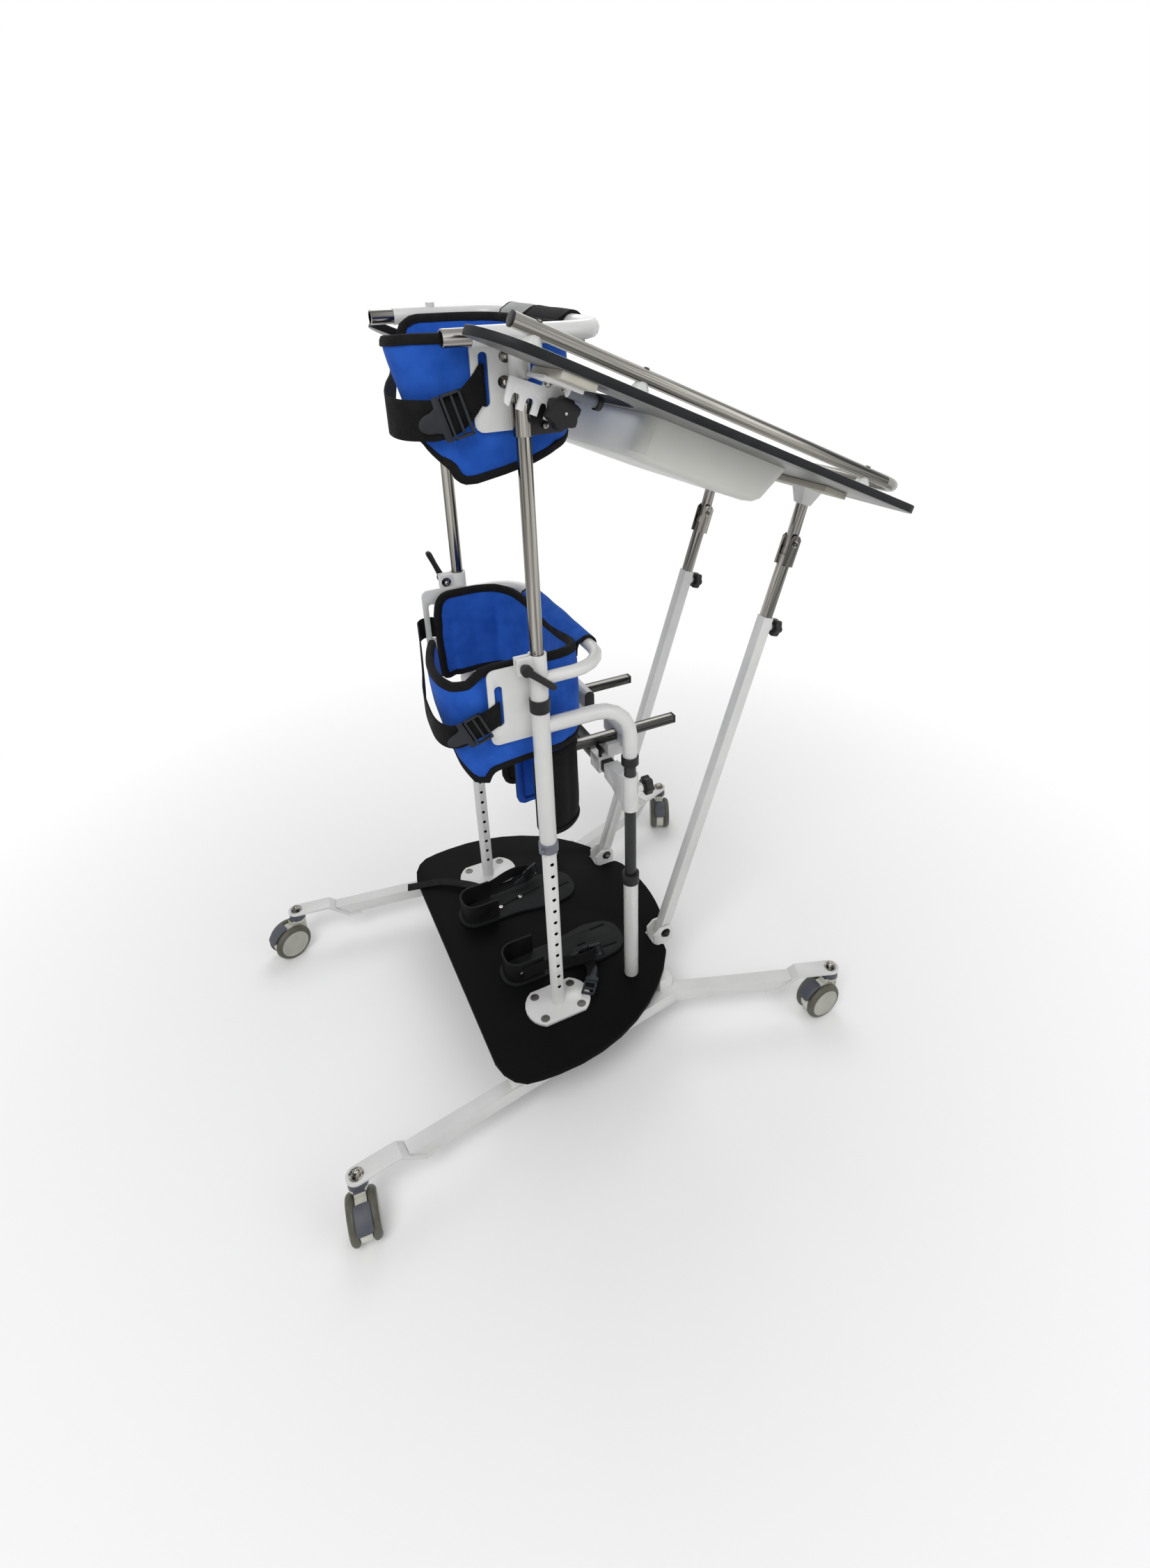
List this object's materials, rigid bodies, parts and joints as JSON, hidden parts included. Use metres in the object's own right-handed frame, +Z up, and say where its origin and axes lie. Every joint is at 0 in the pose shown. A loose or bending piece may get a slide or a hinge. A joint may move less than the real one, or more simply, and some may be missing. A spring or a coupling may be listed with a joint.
{
  "type": "vertical standing frame",
  "caption": "Upright standing support on casters with a footplate, padded hip and chest rings with straps, knee pads, foot holders and a tilting table with rail and basin.",
  "frame": {"origin": "centre of the bounding box at floor level, under the wheels", "axes": "+Z up, +Y the way the user faces, towards the table, +X the user's right"},
  "size_m": [0.7319, 1.0653, 1.2983],
  "materials": {
    "black_board": "matt black coated board",
    "white_coat": "gloss powder coat",
    "charcoal_coat": "satin coat",
    "chrome": "polished",
    "stainless": "satin polished",
    "black_plastic": "moulded",
    "blue_fabric": "woven cover over foam",
    "black_webbing": "woven webbing",
    "charcoal_board": "laminate with a dark edge",
    "milky_plastic": "translucent white",
    "batten_wood": "pale bare edge",
    "sandal_black": "moulded",
    "hood_plastic": "moulded",
    "wheel_rubber": "worn tread",
    "pedal_plastic": "moulded"
  },
  "bodies": {
    "base": {"footplate": "black_board", "base_frame": "white_coat", "column_foot_right": "white_coat", "guide_post_right": "white_coat", "table_clamp_right": "black_plastic", "column_foot_left": "white_coat", "guide_post_left": "white_coat", "table_clamp_left": "black_plastic"},
    "upper_frame": {"outer_column_right": "white_coat", "inner_post_right": "charcoal_coat", "outer_column_left": "white_coat", "inner_post_left": "charcoal_coat", "hip_ring": "white_coat", "hip_pad": "blue_fabric", "hip_strap": "black_webbing"},
    "chest_unit": {"chrome_column_right": "chrome", "chrome_column_left": "chrome", "chest_ring": "white_coat", "chest_pad": "blue_fabric", "chest_strap": "black_webbing"},
    "knee_support": {"knee_crossbar": "white_coat"},
    "table": {"table_top": "charcoal_board", "table_basin": "milky_plastic", "table_rail": "stainless", "front_batten": "batten_wood", "table_bracket_right": "white_coat", "table_bracket_left": "white_coat"},
    "caster_rear_right": {"caster_rear_right_hood": "hood_plastic"},
    "caster_rear_right_wheel_pair": {"caster_rear_right_wheels": "wheel_rubber"},
    "caster_rear_right_brake": {"caster_rear_right_pedal": "pedal_plastic"},
    "caster_front_right": {"caster_front_right_hood": "hood_plastic"},
    "caster_front_right_wheel_pair": {"caster_front_right_wheels": "wheel_rubber"},
    "caster_front_right_brake": {"caster_front_right_pedal": "pedal_plastic"},
    "caster_rear_left": {"caster_rear_left_hood": "hood_plastic"},
    "caster_rear_left_wheel_pair": {"caster_rear_left_wheels": "wheel_rubber"},
    "caster_rear_left_brake": {"caster_rear_left_pedal": "pedal_plastic"},
    "caster_front_left": {"caster_front_left_hood": "hood_plastic"},
    "caster_front_left_wheel_pair": {"caster_front_left_wheels": "wheel_rubber"},
    "caster_front_left_brake": {"caster_front_left_pedal": "pedal_plastic"},
    "lever_right": {"clamp_lever_right": "black_plastic"},
    "knee_carriage_right": {"knee_carrier_right": "white_coat"},
    "knee_arm_right": {"knee_bar_right": "chrome", "knee_pad_right": "blue_fabric"},
    "knee_lock_right": {"knee_knob_right": "black_plastic"},
    "table_lock_right": {"table_knob_right": "black_plastic"},
    "strut_right": {"strut_tube_right": "white_coat"},
    "strut_rod_right": {"strut_slider_right": "chrome"},
    "strut_lock_right": {"strut_knob_right": "black_plastic"},
    "foot_right": {"sandal_right": "sandal_black"},
    "lever_left": {"clamp_lever_left": "black_plastic"},
    "knee_carriage_left": {"knee_carrier_left": "white_coat"},
    "knee_arm_left": {"knee_bar_left": "chrome", "knee_pad_left": "blue_fabric"},
    "knee_lock_left": {"knee_knob_left": "black_plastic"},
    "table_lock_left": {"table_knob_left": "black_plastic"},
    "strut_left": {"strut_tube_left": "white_coat"},
    "strut_rod_left": {"strut_slider_left": "chrome"},
    "strut_lock_left": {"strut_knob_left": "black_plastic"},
    "foot_left": {"sandal_left": "sandal_black"}
  },
  "joints": [
    {"name": "caster_rear_right_swivel", "type": "hinge", "parent": "base", "child": "caster_rear_right", "pos_m": [0.3008, -0.4607, 0], "axis": [0, 0, 1], "continuous": true},
    {"name": "caster_rear_right_roll", "type": "hinge", "parent": "caster_rear_right", "child": "caster_rear_right_wheel_pair", "pos_m": [0.3257, -0.46288, 0.0375], "axis": [0.0872, 0.9962, 0], "continuous": true},
    {"name": "caster_rear_right_brake_lift", "type": "hinge", "parent": "caster_rear_right", "child": "caster_rear_right_brake", "pos_m": [0.33221, -0.46345, 0.07453], "axis": [-0.0872, -0.9962, 0], "range_deg": [0, 15]},
    {"name": "caster_front_right_swivel", "type": "hinge", "parent": "base", "child": "caster_front_right", "pos_m": [0.3216, 0.4366, 0], "axis": [0, 0, 1], "continuous": true},
    {"name": "caster_front_right_roll", "type": "hinge", "parent": "caster_front_right", "child": "caster_front_right_wheel_pair", "pos_m": [0.32247, 0.41162, 0.0375], "axis": [0.9994, 0.0349, 0], "continuous": true},
    {"name": "caster_front_right_brake_lift", "type": "hinge", "parent": "caster_front_right", "child": "caster_front_right_brake", "pos_m": [0.3227, 0.40509, 0.07453], "axis": [-0.9994, -0.0349, 0], "range_deg": [0, 15]},
    {"name": "caster_rear_left_swivel", "type": "hinge", "parent": "base", "child": "caster_rear_left", "pos_m": [-0.3256, -0.4607, 0], "axis": [0, 0, 1], "continuous": true},
    {"name": "caster_rear_left_roll", "type": "hinge", "parent": "caster_rear_left", "child": "caster_rear_left_wheel_pair", "pos_m": [-0.31705, -0.48419, 0.0375], "axis": [0.9397, 0.342, 0], "continuous": true},
    {"name": "caster_rear_left_brake_lift", "type": "hinge", "parent": "caster_rear_left", "child": "caster_rear_left_brake", "pos_m": [-0.31482, -0.49033, 0.07453], "axis": [-0.9397, -0.342, 0], "range_deg": [0, 15]},
    {"name": "caster_front_left_swivel", "type": "hinge", "parent": "base", "child": "caster_front_left", "pos_m": [-0.3464, 0.4366, 0], "axis": [0, 0, 1], "continuous": true},
    {"name": "caster_front_left_roll", "type": "hinge", "parent": "caster_front_left", "child": "caster_front_left_wheel_pair", "pos_m": [-0.32393, 0.42564, 0.0375], "axis": [0.4384, 0.8988, 0], "continuous": true},
    {"name": "caster_front_left_brake_lift", "type": "hinge", "parent": "caster_front_left", "child": "caster_front_left_brake", "pos_m": [-0.31806, 0.42278, 0.07453], "axis": [-0.4384, -0.8988, 0], "range_deg": [0, 15]},
    {"name": "column_height", "type": "slide", "parent": "base", "child": "upper_frame", "axis": [0, 0, 1], "range_m": [-0.025, 0.15]},
    {"name": "chest_height", "type": "slide", "parent": "upper_frame", "child": "chest_unit", "axis": [0, 0, 1], "range_m": [0, 0.15]},
    {"name": "knee_height", "type": "slide", "parent": "upper_frame", "child": "knee_support", "axis": [0, 0, 1], "range_m": [-0.1, 0.01]},
    {"name": "table_tilt", "type": "hinge", "parent": "base", "child": "table", "pos_m": [-0.0124, -0.0382, 1.163], "axis": [1, 0, 0], "range_deg": [-4, 12]},
    {"name": "lever_turn_right", "type": "hinge", "parent": "upper_frame", "child": "lever_right", "pos_m": [0.1931, -0.0967, 0.821], "axis": [1, 0, 0], "range_deg": [0, 90]},
    {"name": "knee_width_right", "type": "slide", "parent": "knee_support", "child": "knee_carriage_right", "axis": [1, 0, 0], "range_m": [-0.02, 0.012]},
    {"name": "knee_depth_right", "type": "slide", "parent": "knee_carriage_right", "child": "knee_arm_right", "axis": [0, 1, 0], "range_m": [-0.05, 0.02]},
    {"name": "knee_knob_turn_right", "type": "hinge", "parent": "knee_support", "child": "knee_lock_right", "pos_m": [0.1776, 0.0773, 0.545], "axis": [0, 1, 0], "continuous": true},
    {"name": "table_knob_turn_right", "type": "hinge", "parent": "base", "child": "table_lock_right", "pos_m": [0.19877, -0.03344, 1.1738], "axis": [0.9984, 0.0225, 0.0511], "continuous": true},
    {"name": "strut_swing_right", "type": "hinge", "parent": "base", "child": "strut_right", "pos_m": [0.1176, 0.1773, 0.142], "axis": [1, 0, 0], "range_deg": [-1.5, 0.8]},
    {"name": "strut_slide_right", "type": "slide", "parent": "strut_right", "child": "strut_rod_right", "axis": [0, 0.3044, 0.9525], "range_m": [-0.04, 0.115]},
    {"name": "strut_knob_turn_right", "type": "hinge", "parent": "strut_right", "child": "strut_lock_right", "pos_m": [0.1176, 0.37365, 0.75639], "axis": [0, 0.9525, -0.3044], "continuous": true},
    {"name": "foot_place_right", "type": "slide", "parent": "base", "child": "foot_right", "axis": [0, 1, 0], "range_m": [-0.03, 0.03]},
    {"name": "lever_turn_left", "type": "hinge", "parent": "upper_frame", "child": "lever_left", "pos_m": [-0.2179, -0.0967, 0.821], "axis": [1, 0, 0], "range_deg": [-90, 0]},
    {"name": "knee_width_left", "type": "slide", "parent": "knee_support", "child": "knee_carriage_left", "axis": [-1, 0, 0], "range_m": [-0.02, 0.012]},
    {"name": "knee_depth_left", "type": "slide", "parent": "knee_carriage_left", "child": "knee_arm_left", "axis": [0, 1, 0], "range_m": [-0.05, 0.02]},
    {"name": "knee_knob_turn_left", "type": "hinge", "parent": "knee_support", "child": "knee_lock_left", "pos_m": [-0.2024, 0.0773, 0.545], "axis": [0, 1, 0], "continuous": true},
    {"name": "table_knob_turn_left", "type": "hinge", "parent": "base", "child": "table_lock_left", "pos_m": [-0.22357, -0.04296, 1.1522], "axis": [-0.9984, -0.0225, -0.0511], "continuous": true},
    {"name": "strut_swing_left", "type": "hinge", "parent": "base", "child": "strut_left", "pos_m": [-0.1424, 0.1773, 0.142], "axis": [1, 0, 0], "range_deg": [-1.5, 0.8]},
    {"name": "strut_slide_left", "type": "slide", "parent": "strut_left", "child": "strut_rod_left", "axis": [0, 0.3026, 0.9531], "range_m": [-0.04, 0.115]},
    {"name": "strut_knob_turn_left", "type": "hinge", "parent": "strut_left", "child": "strut_lock_left", "pos_m": [-0.1424, 0.37245, 0.75677], "axis": [0, 0.9531, -0.3026], "continuous": true},
    {"name": "foot_place_left", "type": "slide", "parent": "base", "child": "foot_left", "axis": [0, 1, 0], "range_m": [-0.03, 0.03]}
  ],
  "couplings": [
    {"joint": "strut_swing_right", "follows": "table_tilt", "ratio": -0.08},
    {"joint": "strut_slide_right", "follows": "table_tilt", "m_per_rad": 0.522},
    {"joint": "strut_swing_left", "follows": "table_tilt", "ratio": -0.1},
    {"joint": "strut_slide_left", "follows": "table_tilt", "m_per_rad": 0.521}
  ]
}
